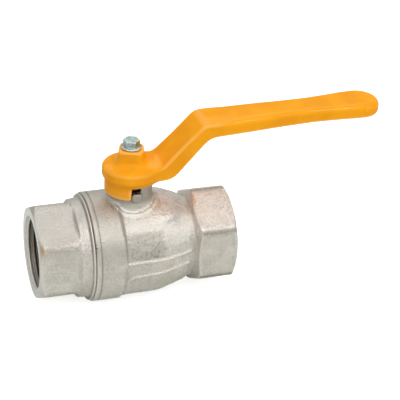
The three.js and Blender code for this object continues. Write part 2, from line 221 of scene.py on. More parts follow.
def soften(values, radius, step, passes=2):
    """Blurs a field, which rounds its edges by about the radius."""
    reach = max(1, round(radius / step / passes))
    for _ in range(passes):
        for axis, length in enumerate(values.shape):
            if length > 1:
                pad = [(reach, reach) if i == axis else (0, 0) for i in range(values.ndim)]
                padded = np.pad(values, pad, mode="edge")
                before = (slice(None),) * axis
                count = 2 * reach + 1
                values = sum(padded[(*before, slice(i, i + length))] for i in range(count)) / count
    return values


def filleted(corners, arc_steps=6):
    """Points of a closed outline. A corner is (u, v) or (u, v, fillet radius)."""
    points = []
    for i, corner in enumerate(corners):
        here = np.array(corner[:2], float)
        if len(corner) == 2:
            points.append(here)
            continue
        back = unit(np.array(corners[i - 1][:2], float) - here)
        ahead = unit(np.array(corners[(i + 1) % len(corners)][:2], float) - here)
        half = math.acos(np.clip(back @ ahead, -1, 1)) / 2
        centre = here + unit(back + ahead) * corner[2] / math.sin(half)
        first = here + back * corner[2] / math.tan(half) - centre
        last = here + ahead * corner[2] / math.tan(half) - centre
        for share in np.linspace(0, 1, arc_steps + 1):
            spoke = unit(first * (1 - share) + last * share)
            points.append(centre + corner[2] * spoke)
    return np.array(points)


def outline_distance(points, u, v):
    """Signed distance from each (u, v) to a closed outline, negative inside."""
    nearest = np.full(np.broadcast(u, v).shape, np.inf)
    inside = np.zeros(nearest.shape, bool)
    for (u0, v0), (u1, v1) in zip(points, np.roll(points, 1, axis=0)):
        du, dv = u1 - u0, v1 - v0
        along = np.clip(((u - u0) * du + (v - v0) * dv) / max(du * du + dv * dv, 1e-12), 0, 1)
        nearest = np.minimum(nearest, (u - u0 - du * along) ** 2 + (v - v0 - dv * along) ** 2)
        crosses = (v0 > v) != (v1 > v)
        if dv:
            inside ^= crosses & (u < u0 + du * (v - v0) / dv)
    return np.where(inside, -1, 1) * np.sqrt(nearest)


class Block:
    """Evenly spaced sample points in a box, in millimetres around the ball's centre."""

    def __init__(self, low, high, step):
        margin = 3 * step
        self.step = step
        self.low = np.array(low) - margin
        counts = np.ceil((np.array(high) + margin - self.low) / step).astype(int) + 1
        axes = [self.low[i] + step * np.arange(n) for i, n in enumerate(counts)]
        self.x, self.y, self.z = np.ix_(*[axis.astype(np.float32) for axis in axes])
        self.from_pipe = np.sqrt(self.y**2 + self.z**2)
        self.from_stem = np.sqrt(self.x**2 + self.y**2)

    def table(self, corners, along, radius, radius_first):
        """The outline's distance over (along, radius), read at every sample point's radius."""
        step = self.step / 2
        radii = np.arange(0, radius.max() + 2 * step, step)
        points = filleted(corners)
        index = (radius / step).astype(int)
        share = (radius / step - index).astype(np.float32)
        distances = outline_distance(points, along.ravel()[:, None], radii[None, :])
        distances = distances.astype(np.float32)
        if radius_first:
            near = index[:, :, 0]
            distances = distances.T
            return distances[near] * (1 - share) + distances[near + 1] * share
        near = index[0]
        return distances[:, near] * (1 - share) + distances[:, near + 1] * share

    def turned_x(self, corners):
        """A solid turned about X from (x, radius) corners."""
        return self.table(corners, self.x, self.from_pipe, False)

    def turned_z(self, corners):
        """A solid turned about Z from (z, radius) corners."""
        return self.table(corners, self.z, self.from_stem, True)

    def box(self, low, high, radius=0.0):
        """A box with rounded edges."""
        parts = []
        for axis, a, b in zip((self.x, self.y, self.z), low, high):
            parts.append(np.abs(axis - (a + b) / 2) - (b - a) / 2 + radius)
        outside = np.sqrt(sum(np.maximum(part, 0) ** 2 for part in parts))
        deepest = np.maximum(np.maximum(parts[0], parts[1]), parts[2])
        return outside + np.minimum(deepest, 0) - radius

    def unevenness(self, size, seed):
        """Smooth random waves about size long, between about -1 and 1."""
        rng = np.random.default_rng(seed)
        lattice_low = -60.0
        lattice = rng.standard_normal([int(190 / size) + 4] + [int(130 / size) + 4] * 2)
        lattice = lattice.astype(np.float32)
        for i, axis in enumerate((self.x, self.y, self.z)):
            place = (axis.ravel() - lattice_low) / size
            cell = np.floor(place).astype(int)
            share = place - cell
            weights = np.zeros((len(place), lattice.shape[i]), np.float32)
            spline = (
                (1 - share) ** 3 / 6,
                (3 * share**3 - 6 * share**2 + 4) / 6,
                (-3 * share**3 + 3 * share**2 + 3 * share + 1) / 6,
                share**3 / 6,
            )
            for offset, weight in enumerate(spline):
                weights[np.arange(len(place)), cell + offset] = weight
            lattice = np.moveaxis(np.tensordot(weights, lattice, (1, i)), 0, i)
        return lattice

    def read(self, field, points):
        """A field's values at points, between the nearest samples."""
        place = (points - self.low) / self.step
        cell = np.clip(np.floor(place).astype(int), 0, np.array(field.shape) - 2)
        share = place - cell
        total = np.zeros(len(points))
        for corner in np.ndindex(2, 2, 2):
            weight = np.prod(np.where(corner, share, 1 - share), axis=1)
            total += weight * field[tuple((cell + corner).T)]
        return total


def surface(block, field):
    """The mesh where the field is zero: points in millimetres, and quads."""
    band = 4 * block.step
    grid = openvdb.FloatGrid(band)
    grid.copyFromArray(np.clip(field, -band, band).astype(np.float32))
    points, quads = grid.convertToQuads(isovalue=0.0)
    return points.astype(float) * block.step + block.low, quads


def add_piece(name, node, points, faces, material, body, marks=None):
    """A smooth-shaded piece that stands for a CAD node."""
    mesh = bpy.data.meshes.new(name)
    rows = points * MM + np.array(CENTRE)
    mesh.vertices.add(len(rows))
    mesh.vertices.foreach_set("co", rows.astype(np.float32).ravel())
    mesh.loops.add(faces.size)
    mesh.loops.foreach_set("vertex_index", faces.astype(np.int32).ravel())
    mesh.polygons.add(len(faces))
    starts = np.arange(0, faces.size, faces.shape[1], dtype=np.int32)
    mesh.polygons.foreach_set("loop_start", starts)
    mesh.polygons.foreach_set("use_smooth", np.ones(len(faces), bool))
    mesh.update(calc_edges=True)
    for mark, values in (marks or {}).items():
        layer = mesh.attributes.new(mark, "FLOAT", "POINT")
        layer.data.foreach_set("value", np.asarray(values, np.float32))
    mesh.materials.append(material)
    piece = bpy.data.objects.new(name, mesh)
    bpy.context.scene.collection.objects.link(piece)
    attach(piece, body)
    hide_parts(node)


def field_piece(name, node, block, field, material, body, marks=None):
    """A piece from a field, marked with how far its surface bulges or sinks."""
    points, quads = surface(block, field)
    near = np.clip(field, -3, 3)
    shared = {
        "bulge": block.read(soften(near, 0.9, block.step) - near, points),
        "sink": block.read(soften(near, 2.4, block.step) - near, points),
    }
    for mark, rule in (marks or {}).items():
        shared[mark] = rule(*points.T)
    add_piece(name, node, points, quads, material, body, shared)


def ring_piece(name, node, corners, axis, material, body):
    """A ring turned from a closed outline of (radius, distance along the axis) corners."""
    segments = 144
    outline = filleted(corners, 5)
    count = len(outline)
    turn = np.linspace(0, 2 * math.pi, segments, endpoint=False)
    radius, along = outline[:, 0], outline[:, 1]
    clockwise = np.sum(radius * (np.roll(along, -1) - np.roll(along, 1))) < 0
    first = np.outer(np.cos(turn), radius).ravel()
    second = np.outer(np.sin(turn), radius).ravel()
    along = np.tile(along, segments)
    columns = (along, first, second) if axis == "x" else (first, second, along)
    points = np.stack(columns, axis=1)
    i, j = np.divmod(np.arange(segments * count), count)
    next_i, next_j = (i + 1) % segments, (j + 1) % count
    quads = np.stack(
        (i * count + j, next_i * count + j, next_i * count + next_j, i * count + next_j), axis=1
    )
    if clockwise:
        quads = quads[:, ::-1]
    add_piece(name, node, points, quads, material, body)


# Materials


class Look:
    """A node material with short calls for what the looks have in common."""

    def __init__(self, name, **inputs):
        self.material = bpy.data.materials.new(name)
        self.material.use_nodes = True
        self.nodes = self.material.node_tree.nodes
        self.links = self.material.node_tree.links
        self.shader = self.nodes["Principled BSDF"]
        self.place = self.nodes.new("ShaderNodeTexCoord").outputs["Object"]
        for label, value in inputs.items():
            self.set(label.replace("_", " "), value)

    def join(self, socket, value):
        if isinstance(value, bpy.types.NodeSocket):
            self.links.new(value, socket)
        elif hasattr(socket.default_value, "__len__") and len(value) == 3:
            socket.default_value = (*value, 1.0)
        else:
            socket.default_value = value

    def set(self, label, value):
        self.join(self.shader.inputs[label], value)

    def noise(self, size, detail=2.0, stretch=(1, 1, 1), roughness=0.5):
        """Noise from 0 to 1 whose features are about size millimetres long."""
        mapping = self.nodes.new("ShaderNodeMapping")
        mapping.inputs["Scale"].default_value = stretch
        self.links.new(self.place, mapping.inputs["Vector"])
        texture = self.nodes.new("ShaderNodeTexNoise")
        texture.inputs["Scale"].default_value = 1 / (size * MM)
        texture.inputs["Detail"].default_value = detail
        texture.inputs["Roughness"].default_value = roughness
        self.links.new(mapping.outputs["Vector"], texture.inputs["Vector"])
        return texture.outputs["Fac"]

    def mark(self, name):
        """A value stored on the mesh's points, such as how far they bulge."""
        node = self.nodes.new("ShaderNodeAttribute")
        node.attribute_name = name
        return node.outputs["Fac"]

    def spread(self, value, low, high, start=0.0, end=1.0):
        """Maps low..high to start..end, smoothly and clamped."""
        node = self.nodes.new("ShaderNodeMapRange")
        node.interpolation_type = "SMOOTHSTEP"
        for socket, number in zip(node.inputs, (value, low, high, start, end)):
            self.join(socket, number)
        return node.outputs["Result"]

    def mix(self, share, first, second):
        """The first colour going over to the second as share goes from 0 to 1."""
        node = self.nodes.new("ShaderNodeMix")
        node.data_type = "RGBA"
        colours = [s for s in node.inputs if s.type == "RGBA"]
        self.join(node.inputs["Factor"], share)
        self.join(colours[0], first)
        self.join(colours[1], second)
        return next(s for s in node.outputs if s.type == "RGBA")

    def times(self, first, second):
        return self.maths("MULTIPLY", first, second)

    def maths(self, operation, first, second):
        node = self.nodes.new("ShaderNodeMath")
        node.operation = operation
        self.join(node.inputs[0], first)
        self.join(node.inputs[1], second)
        return node.outputs["Value"]

    def bump(self, height, depth, under=None):
        """Raises the surface by depth millimetres where height is 1."""
        node = self.nodes.new("ShaderNodeBump")
        node.inputs["Distance"].default_value = depth * MM
        self.links.new(height, node.inputs["Height"])
        if under:
            self.links.new(under, node.inputs["Normal"])
        return node.outputs["Normal"]


def nickel_look():
    """Shot-blasted forging under nickel, with bright machined faces, recesses darkened by grime
    and painted shade, painted shade on the bore and upper parts, and edges paler from rubbing and
    a painted highlight.
    """
    look = Look("nickel_plated_brass", Metallic=1.0)
    grain = look.noise(1.0, 3.0, roughness=0.65)
    blotch = look.noise(7.0, 3.0)
    colour = look.mix(look.spread(blotch, 0.35, 0.65), (0.60, 0.57, 0.52), (0.70, 0.67, 0.615))
    speckle = look.spread(grain, 0.36, 0.64)
    colour = look.mix(look.times(speckle, 0.45), colour, (0.94, 0.90, 0.85))
    warm = look.spread(look.noise(16.0, 2.0), 0.5, 0.72, 0.0, 0.22)
    colour = look.mix(warm, colour, (0.62, 0.55, 0.46))
    pits = look.spread(look.noise(1.1, 3.0), 0.46, 0.74, 0.0, 0.62)
    rough_area = look.mark("rough")
    pitted = look.times(pits, look.maths("ADD", rough_area, 0.08))
    colour = look.mix(pitted, colour, (0.17, 0.145, 0.11))
    colour = look.mix(look.times(rough_area, 0.42), colour, (0.30, 0.275, 0.235))
    # Darker and browner in recesses: partly grime, partly painted shade.
    recess_dirt_and_shade = look.spread(look.mark("sink"), -0.12, -0.46)
    recess_dirt_and_shade = look.times(recess_dirt_and_shade, look.spread(blotch, 0.2, 0.8, 0.35, 1.0))
    colour = look.mix(recess_dirt_and_shade, colour, (0.22, 0.17, 0.115))
    clean = look.maths("SUBTRACT", 1.0, look.times(rough_area, 0.8))
    # Paler on bulging edges: partly rubbed plating, partly a painted highlight.
    rubbed_and_highlit = look.spread(look.mark("bulge"), 0.06, 0.20, 0.0, 0.6)
    colour = look.mix(look.times(rubbed_and_highlit, clean), colour, (0.92, 0.89, 0.84))
    # Darker on the neck, the band beside it, the top of the barrel and the top of the adapter:
    # painted shade.
    colour = look.mix(look.mark("dull"), colour, (0.42, 0.395, 0.345))
    machined = look.mark("machined")
    turning = look.noise(0.5, 2.0, stretch=(6.0, 0.4, 0.4))
    bright = look.mix(look.spread(turning, 0.3, 0.7), (0.70, 0.71, 0.70), (0.84, 0.85, 0.83))
    colour = look.mix(machined, colour, bright)
    worn = look.spread(grain, 0.25, 0.6, 0.4, 1.0)
    colour = look.mix(look.times(look.mark("bare"), worn), colour, (0.62, 0.34, 0.12))
    # The stain mark holds stains, darkened groove and joint lines, and painted shade round the
    # stop lug.
    colour = look.mix(look.mark("stain"), colour, (0.13, 0.095, 0.06))
    # Darker deeper in the bore: painted shade.
    colour = look.mix(look.mark("bore_shade"), colour, (0.17, 0.135, 0.09))
    look.set("Base Color", colour)
    roughness = look.spread(grain, 0.3, 0.7, 0.36, 0.54)
    roughness = look.maths("ADD", roughness, look.times(rough_area, 0.12))
    roughness = look.maths("SUBTRACT", roughness, look.times(machined, 0.12))
    look.set("Roughness", roughness)
    cast = look.maths("SUBTRACT", 1.0, look.times(machined, 0.85))
    height = look.times(grain, cast)
    look.set("Normal", look.bump(height, 0.36, look.bump(pits, 0.06)))
    return look.material


def orange_look():
    """Gloss orange stove enamel with faint orange peel, paler edges that are partly thin coating
    and partly a painted highlight, and hollows darkened by pooled paint and painted shade.
    """
    look = Look("orange_coating", Metallic=0.0)
    cloud = look.noise(14.0, 2.0)
    colour = look.mix(look.spread(cloud, 0.35, 0.65), (0.86, 0.325, 0.002), (0.93, 0.37, 0.003))
    # Paler on bulging edges: partly thin coating, partly a painted highlight.
    edge = look.spread(look.mark("bulge"), 0.05, 0.14, 0.0, 0.75)
    colour = look.mix(edge, colour, (1.0, 0.50, 0.12))
    # Darker in hollows: partly pooled paint, partly painted shade.
    pooled_paint_and_shade = look.spread(look.mark("sink"), -0.15, -0.6, 0.0, 0.45)
    colour = look.mix(pooled_paint_and_shade, colour, (0.70, 0.22, 0.002))
    dust = look.spread(look.noise(0.8, 2.0), 0.66, 0.74, 0.0, 0.15)
    colour = look.mix(dust, colour, (0.96, 0.50, 0.12))
    look.set("Base Color", colour)
    look.set("Roughness", look.spread(look.noise(5.0), 0.3, 0.7, 0.30, 0.42))
    look.set("Specular IOR Level", 0.0)
    look.set("Coat Weight", 0.34)
    look.set("Coat Roughness", 0.06)
    peel = look.bump(look.noise(2.2, 1.0), 0.05)
    look.set("Normal", look.bump(look.noise(0.6, 1.0), 0.008, peel))
    return look.material


def zinc_look():
    """Zinc plate with a blue-green passivation, bright edges that are partly rubbed and partly a
    painted highlight, and painted shade in its recesses.
    """
    look = Look("zinc_plated_steel", Metallic=1.0)
    cloud = look.noise(1.8, 3.0)
    colour = look.mix(look.spread(cloud, 0.3, 0.7), (0.30, 0.40, 0.37), (0.43, 0.53, 0.49))
    # Paler on bulging edges: partly rubbed plating, partly a painted highlight.
    rubbed_and_highlit = look.spread(look.mark("bulge"), 0.05, 0.2, 0.0, 0.8)
    colour = look.mix(rubbed_and_highlit, colour, (0.82, 0.84, 0.82))
    # Near black in recesses, such as under the flange: painted shade.
    recess_shade = look.spread(look.mark("sink"), -0.35, -0.8, 0.0, 0.9)
    colour = look.mix(recess_shade, colour, (0.06, 0.06, 0.055))
    look.set("Base Color", colour)
    look.set("Roughness", look.spread(look.noise(0.5, 3.0), 0.3, 0.7, 0.24, 0.42))
    look.set("Normal", look.bump(look.noise(0.35, 2.0), 0.02))
    return look.material


def chrome_look():
    """Hard chrome, polished, with fine lapping marks and faint fingerprints."""
    look = Look("chrome_plated_brass", Metallic=1.0)
    haze = look.spread(look.noise(6.0, 3.0), 0.4, 0.7)
    look.set("Base Color", look.mix(haze, (0.83, 0.84, 0.86), (0.72, 0.73, 0.74)))
    look.set("Roughness", look.spread(look.noise(9.0, 4.0), 0.35, 0.7, 0.06, 0.18))
    lapping = look.noise(0.3, 2.0, stretch=(0.15, 4.0, 0.15))
    look.set("Normal", look.bump(lapping, 0.003))
    return look.material


def brass_look():
    """Turned brass with faint tool rings, patchy brown tarnish, and corners darkened by tarnish
    and painted shade.
    """
    look = Look("plain_brass", Metallic=1.0)
    tarnish = look.spread(look.noise(3.0, 4.0), 0.45, 0.75, 0.0, 0.7)
    colour = look.mix(tarnish, (0.76, 0.55, 0.24), (0.52, 0.34, 0.14))
    # Darker in the corners: partly tarnish, partly painted shade.
    recess_dirt_and_shade = look.spread(look.mark("sink"), -0.08, -0.4, 0.0, 0.7)
    look.set("Base Color", look.mix(recess_dirt_and_shade, colour, (0.16, 0.10, 0.05)))
    look.set("Roughness", look.spread(look.noise(1.0, 3.0), 0.3, 0.7, 0.22, 0.40))
    look.set("Normal", look.bump(look.noise(0.25, 2.0, stretch=(0.2, 0.2, 5.0)), 0.012))
    return look.material


def ptfe_look():
    """Waxy white PTFE with skived rings and light marks."""
    look = Look("ptfe", Metallic=0.0)
    stain = look.spread(look.noise(4.0, 4.0), 0.5, 0.8, 0.0, 0.5)
    look.set("Base Color", look.mix(stain, (0.87, 0.86, 0.82), (0.72, 0.70, 0.64)))
    look.set("Roughness", look.spread(look.noise(0.9, 3.0), 0.3, 0.7, 0.42, 0.60))
    look.set("Subsurface Weight", 0.2)
    look.set("Subsurface Scale", 0.5 * MM)
    look.set("Normal", look.bump(look.noise(0.3, 2.0, stretch=(5.0, 0.3, 0.3)), 0.01))
    return look.material


def nitrile_look():
    """Moulded black rubber with a matt, slightly dusty skin."""
    look = Look("nitrile", Metallic=0.0)
    dust = look.spread(look.noise(0.7, 4.0), 0.5, 0.75, 0.0, 0.5)
    look.set("Base Color", look.mix(dust, (0.016, 0.016, 0.017), (0.06, 0.058, 0.055)))
    look.set("Roughness", look.spread(look.noise(1.2, 2.0), 0.3, 0.7, 0.5, 0.75))
    look.set("Normal", look.bump(look.noise(0.25, 3.0), 0.01))
    return look.material


def floor_look():
    """Pale studio paper. Seen by the camera it is lifted to near white."""
    look = Look("studio_paper", Roughness=0.95)
    fibre = look.spread(look.noise(1.5, 4.0), 0.3, 0.7)
    look.set("Base Color", look.mix(fibre, (0.70, 0.715, 0.68), (0.74, 0.755, 0.72)))
    look.set("Specular IOR Level", 0.1)
    rays = look.nodes.new("ShaderNodeLightPath")
    look.set("Emission Color", (1.0, 1.0, 1.0))
    lift = 0.75
    look.set("Emission Strength", look.times(rays.outputs["Is Camera Ray"], lift))
    look.set("Normal", look.bump(fibre, 0.02))
    return look.material


# Housing


def hexagon(block, inner_x, face_x, flats, twist, corner_trim, back_slope):
    """A hexagon along X with a corner at the top, trimmed corners and chamfered ends."""
    side = math.copysign(1, face_x)
    across = []
    trims = []
    for k in range(3):
        normal = math.radians(60 * k) + twist
        corner = normal + math.radians(30)
        across.append(np.abs(block.y * math.cos(normal) + block.z * math.sin(normal)))
        trims.append(np.abs(block.y * math.cos(corner) + block.z * math.sin(corner)))
    prism = np.maximum.reduce(across) - flats / 2
    trim_r = flats / math.sqrt(3) - corner_trim / 2 / math.tan(math.radians(60))
    trim = np.maximum.reduce(trims) - trim_r
    radius = block.from_pipe
    slope = math.radians(30)
    beyond = side * (block.x - face_x)
    chamfer = beyond * math.cos(slope) + (radius - FACE_RING_R) * math.sin(slope)
    short = side * (inner_x - block.x)
    back = short * math.cos(back_slope) + (radius - flats / 2) * math.sin(back_slope)
    solid = round_common(round_common(prism, trim, 0.25), np.maximum(chamfer, back), 0.3)
    return np.maximum(solid, beyond)


def thread_hollow(block, face_x):
    """The helical part of a threaded socket, with narrow flats at crest and root."""
    side = math.copysign(1, face_x)
    turn = np.arctan2(block.z, block.y) / (2 * math.pi)
    phase = (block.x / THREAD_PITCH - turn) % 1.0
    groove = np.clip(1.16 * np.abs(2 * phase - 1) - 0.08, 0, 1)
    depth = THREAD_MAJOR_R - THREAD_MINOR_R
    radius = block.from_pipe
    flank = 0.75 * (radius - THREAD_MINOR_R - depth * groove)
    inward = side * (face_x - block.x)
    return np.maximum(flank, np.maximum(inward - THREAD_LENGTH, -inward - FIT))


def socket_outline(face_x):
    """The hollow of an end, from the seat pocket out through the port to the face."""
    side = math.copysign(1, face_x)
    pocket_x = side * (seat_high.x + FIT)
    runout_x = face_x - side * THREAD_LENGTH
    cone_x = runout_x - side * RUNOUT_WIDTH
    return [
        (pocket_x, seat_high.y + FIT),
        (pocket_x, PORT_R),
        (cone_x - side * 4, PORT_R, 1.0),
        (cone_x, THREAD_MINOR_R),
        (cone_x, RUNOUT_R, 0.4),
        (runout_x, RUNOUT_R, 0.4),
        (runout_x + side * 1.4, THREAD_MINOR_R),
        (face_x - side * COUNTERSINK_DEPTH, THREAD_MINOR_R),
        (face_x, COUNTERSINK_R),
        (face_x + side * 2, COUNTERSINK_R),
        (face_x + side * 2, BELOW_AXIS),
    ]


def barrel_outline(shoulder):
    """Rim with its groove, barrel and taper. The taper starts at the given corner."""
    ring_end = RIM_X + 2.0
    groove = 0.32
    return [
        (RIM_X, BELOW_AXIS),
        (RIM_X, RIM_R, 0.35),
        (ring_end, RIM_R),
        (ring_end + groove, RIM_R - groove),
        (ring_end + 2 * groove, RIM_R),
        (RIM_END_X, RIM_R, 0.8),
        (BARREL_X, BARREL_R, 1.2),
        shoulder,
        (WAIST_X, WAIST_R, 3.0),
        (RIGHT_HEX_X + 4.0, WAIST_R),
        (RIGHT_HEX_X + 4.0, BELOW_AXIS),
    ]


def parting_line_z(x):
    """Height of the die's parting line, which climbs slightly towards the right socket."""
    return 2.3 + 0.02 * x


def body_relief(block):
    """Height of the raised lines and panels on both sides of the forging."""
    x, z = block.x, block.z
    side_y = np.abs(block.y)
    line = 0.7 * bead(z - parting_line_z(x), 0.5) * window(x, BARREL_X - 0.8, 24.0)
    upright = 0.38 * bead(x - BARREL_X + 1.1, 0.45) * window(z, 2.9, 14.0, 1.5)
    recess = 0.22 * rough_panel(x, z)
    shelf = shelf_distance(x, z)
    shelf_height = 0.5 * smoothstep(-shelf, -0.25, 0.25) + 0.3 * bead(shelf + 0.6, 0.55)
    shelf_height = shelf_height * window(x, BARREL_X - 1.0, 22.5, 1.5)
    crest_y = 0.3 + 6.0 * smoothstep(x, 10.5, 22.5)
    crest = 0.35 * bead(side_y - crest_y, 0.9) * window(x, 11.0, 23.5, 1.5)
    neck_foot = 0.4 * bead(np.sqrt(x**2 + side_y**2) - NECK_R - 1.9, 0.5)
    flank = smoothstep(side_y, 6.0, 9.0)
    return (line + upright - recess + shelf_height) * flank + (crest + neck_foot) * (z > 0)


def shelf_distance(x, z):
    """Distance outside the raised panel low on each side, with its rounded upper corner."""
    corner = 3.0
    top = -4.2 + 0.09 * x
    across = np.maximum(z - top + corner, 0)
    ahead = np.maximum(BARREL_X + corner - x, 0)
    return np.hypot(across, ahead) - corner


def rough_panel(x, z):
    """1 on the shallow rough panel on each side of the barrel."""
    return window(x, BARREL_X + 1.6, 9.5, 2.5) * window(z, 4.0, 13.0, 2.5)


def stop_lug(block):
    """The forged stop on the neck, with a broken edge round its face."""
    return block.box(
        (-LUG_HALF_WIDTH, LUG_FACE_Y, LUG_BOTTOM_Z),
        (LUG_HALF_WIDTH, NOTCH_FLOOR_Y, LUG_TOP_Z),
        1.0,
    )


def housing_marks(face_x, worn_places, **rules):
    """Rules for where the surface is machined, where painted shade darkens it deeper in the bore,
    where it is bare of plating and more.

    A worn place is (x, angle from the front, width round the pipe, width along it, strength).
    """
    side = math.copysign(1, face_x)

    def machined(x, y, z):
        radius = np.hypot(y, z)
        face = smoothstep(side * x, side * face_x - 0.35, side * face_x - 0.05)
        bore = smoothstep(-radius, -RUNOUT_R - 0.3, -RUNOUT_R + 0.1)
        return np.maximum(face * (radius < FACE_RING_R + 0.3), 0.2 * bore)

    # Darker deeper in the bore: painted shade.
    def bore_shade(x, y, z):
        radius = np.hypot(y, z)
        depth = side * (face_x - x)
        bore = smoothstep(-radius, -COUNTERSINK_R - 0.2, -COUNTERSINK_R + 0.3)
        return bore * smoothstep(depth, 0.4, 5.0) * 0.9

    def bare(x, y, z):
        radius = np.hypot(y, z)
        turn = np.arctan2(z, -y)
        total = np.zeros(len(x))
        for middle_x, angle, around, along, strength in worn_places:
            arc = (turn - angle) * radius
            total += strength * bead(arc, around) * bead(x - middle_x, along)
        return np.clip(total, 0, 1) * (radius > FACE_RING_R - 0.5)

    return {"machined": machined, "bore_shade": bore_shade, "bare": bare, **rules}


def corner_roughness(x, y, z, twist, inner_x, face_x):
    """1 on the trimmed corners of a hexagon, where the die left them dark."""
    angle = np.degrees(np.arctan2(z, y) - twist - math.radians(30)) % 60
    near = np.minimum(angle, 60 - angle)
    along = window(x, min(inner_x, face_x) + 1, max(inner_x, face_x) - 1.5, 1.0)
    return bead(near, 3.3) * along * (np.hypot(y, z) > FACE_RING_R + 1.8)


def valve_body_outside(block):
    """Barrel, right hexagon, neck and stop lug, with the texture of the forging."""
    below = block.turned_x(barrel_outline(LOWER_SHOULDER))
    above = block.turned_x(barrel_outline(UPPER_SHOULDER))
    barrel = below + (above - below) * smoothstep(block.z, 15.5, 19.0)
    hexes = hexagon(block, RIGHT_HEX_X, RIGHT_FACE_X, RIGHT_HEX_FLATS, 0.0, RIGHT_HEX_TRIM,
                    RIGHT_HEX_SLOPE)
    solid = smooth_union(barrel, hexes, 1.2)
    neck = block.turned_z([
        (BALL_CAVITY_R - 4, BELOW_AXIS),
        (BALL_CAVITY_R - 4, NECK_R),
        (NECK_TOP_Z, NECK_R, 0.4),
        (NECK_TOP_Z, BELOW_AXIS),
    ])
    solid = smooth_union(solid, neck, 2.6)
    solid = smooth_union(solid, stop_lug(block), 0.5)
    on_barrel = window(block.x, RIM_END_X, RIGHT_HEX_X - 1, 1.0)
    solid = solid - body_relief(block) * on_barrel
    waves = 0.06 * block.unevenness(7.0, 11) + 0.03 * block.unevenness(1.9, 12)
    pits = 0.06 * block.unevenness(0.9, 13)
    panel = rough_panel(block.x, block.z) * (np.abs(block.y) > 6)
    return solid + waves + pits * (0.35 + panel)


def valve_body_hollows(block):
    """The notch over the lug, the ball's chamber and socket, their thread and the stem bore."""
    notch = block.box(
        (-LUG_HALF_WIDTH, LUG_FACE_Y - 2, LUG_TOP_Z),
        (LUG_HALF_WIDTH, NOTCH_FLOOR_Y, NECK_TOP_Z + 2),
    )
    chamber = block.turned_x([
        (RIM_X - 2, BELOW_AXIS),
        (RIM_X - 2, TAIL_R + FIT),
        (-BALL_CAVITY_R / 2, TAIL_R + FIT),
        (-BALL_CAVITY_R / 2, BALL_CAVITY_R),
        (seat_low.x - FIT, BALL_CAVITY_R),
        (seat_low.x - FIT, seat_high.y + FIT),
        *socket_outline(RIGHT_FACE_X),
    ])
    stem_bore = block.turned_z([
        (0.0, BELOW_AXIS),
        (0.0, STEM_COLLAR_BORE_R),
        (washer_high.z + FIT, STEM_COLLAR_BORE_R),
        (washer_high.z + FIT, NECK_BORE_R),
        (NECK_TOP_Z - 0.5, NECK_BORE_R),
        (NECK_TOP_Z + 0.5, NECK_BORE_R + 1.0),
        (NECK_TOP_Z + 2, NECK_BORE_R + 1.0),
        (NECK_TOP_Z + 2, BELOW_AXIS),
    ])
    return notch, chamber, thread_hollow(block, RIGHT_FACE_X), stem_bore


def valve_body_marks():
    """Where the forging is rough and stained, where painted shade darkens it, and where its
    plating has worn off.
    """
    def corners(x, y, z):
        flat = corner_roughness(x, y, z, 0.0, RIGHT_HEX_X, RIGHT_FACE_X)
        return flat * (x > RIGHT_HEX_X + 1)

    def rough(x, y, z):
        panel = rough_panel(x, z) * (np.abs(y) > 8) * (np.hypot(y, z) > BARREL_R - 2)
        return np.maximum(corners(x, y, z), 0.75 * panel)

    # Darker groove line, rim spots and hex corners, with painted shade in the notch over the lug
    # and round its foot, and a painted shadow in the gap beside it.
    def stained_and_shaded(x, y, z):
        outside = np.hypot(y, z) > BARREL_R - 1
        ring_line = 0.6 * bead(x - RIM_X - 2.3, 0.32) * outside
        rim_arc = (np.arctan2(z, -y) - 0.50) * RIM_R
        rim_spots = bead(x - RIM_X - 0.3, 0.4) * bead(rim_arc, 1.9) * outside
        rim_spots = 0.85 * rim_spots * (0.55 + 0.45 * np.cos(4 * rim_arc))
        # Painted shade in the notch over the lug, under the hub.
        notch_shade = (np.abs(x) < LUG_HALF_WIDTH + 0.1) & (y < NOTCH_FLOOR_Y + 0.4)
        notch_shade = 0.95 * (notch_shade & (z > LUG_TOP_Z))
        lug_middle_z = (LUG_BOTTOM_Z + LUG_TOP_Z) / 2
        # Painted shade round the lug's foot.
        lug_foot_shade = 0.45 * bead(np.hypot(x, z - lug_middle_z) - 2.7, 0.5) * (y < -LUG_HALF_WIDTH)
        # Painted shadow in the gap between the skirt's edge and the lug.
        gap_shadow = bead(x + LUG_HALF_WIDTH + 0.45, 0.45) * window(z, LUG_BOTTOM_Z, NECK_TOP_Z, 0.4)
        gap_shadow = 0.85 * gap_shadow * (y < NOTCH_FLOOR_Y) * (y > LUG_FACE_Y + 1.2)
        dark = (ring_line, rim_spots, notch_shade, lug_foot_shade, gap_shadow, 0.3 * corners(x, y, z))
        return np.maximum.reduce(dark)

    # Painted shade on the neck, on the band left of it and on the top of the barrel.
    def dull(x, y, z):
        band = 0.62 * smoothstep(z, 0, 12) * smoothstep(-x, -BARREL_X - 1.0, -BARREL_X + 1.0)
        barrel = 0.25 * smoothstep(z, 4, 14) * smoothstep(-x, -14, 2)
        neck = 0.9 * smoothstep(z, BARREL_R, BARREL_R + 3)
        return np.maximum.reduce([band, barrel, neck])

    top_edge = math.radians(90) - 1.6 * math.sqrt(3) / RIGHT_HEX_FLATS
    worn_places = [
        (RIGHT_HEX_X + 1.1, math.radians(78), 4.2, 0.55, 1.0),
        (RIGHT_HEX_X + 9.0, top_edge, 0.45, 7.0, 0.25),
    ]
    return housing_marks(RIGHT_FACE_X, worn_places, rough=rough, stain=stained_and_shaded, dull=dull)


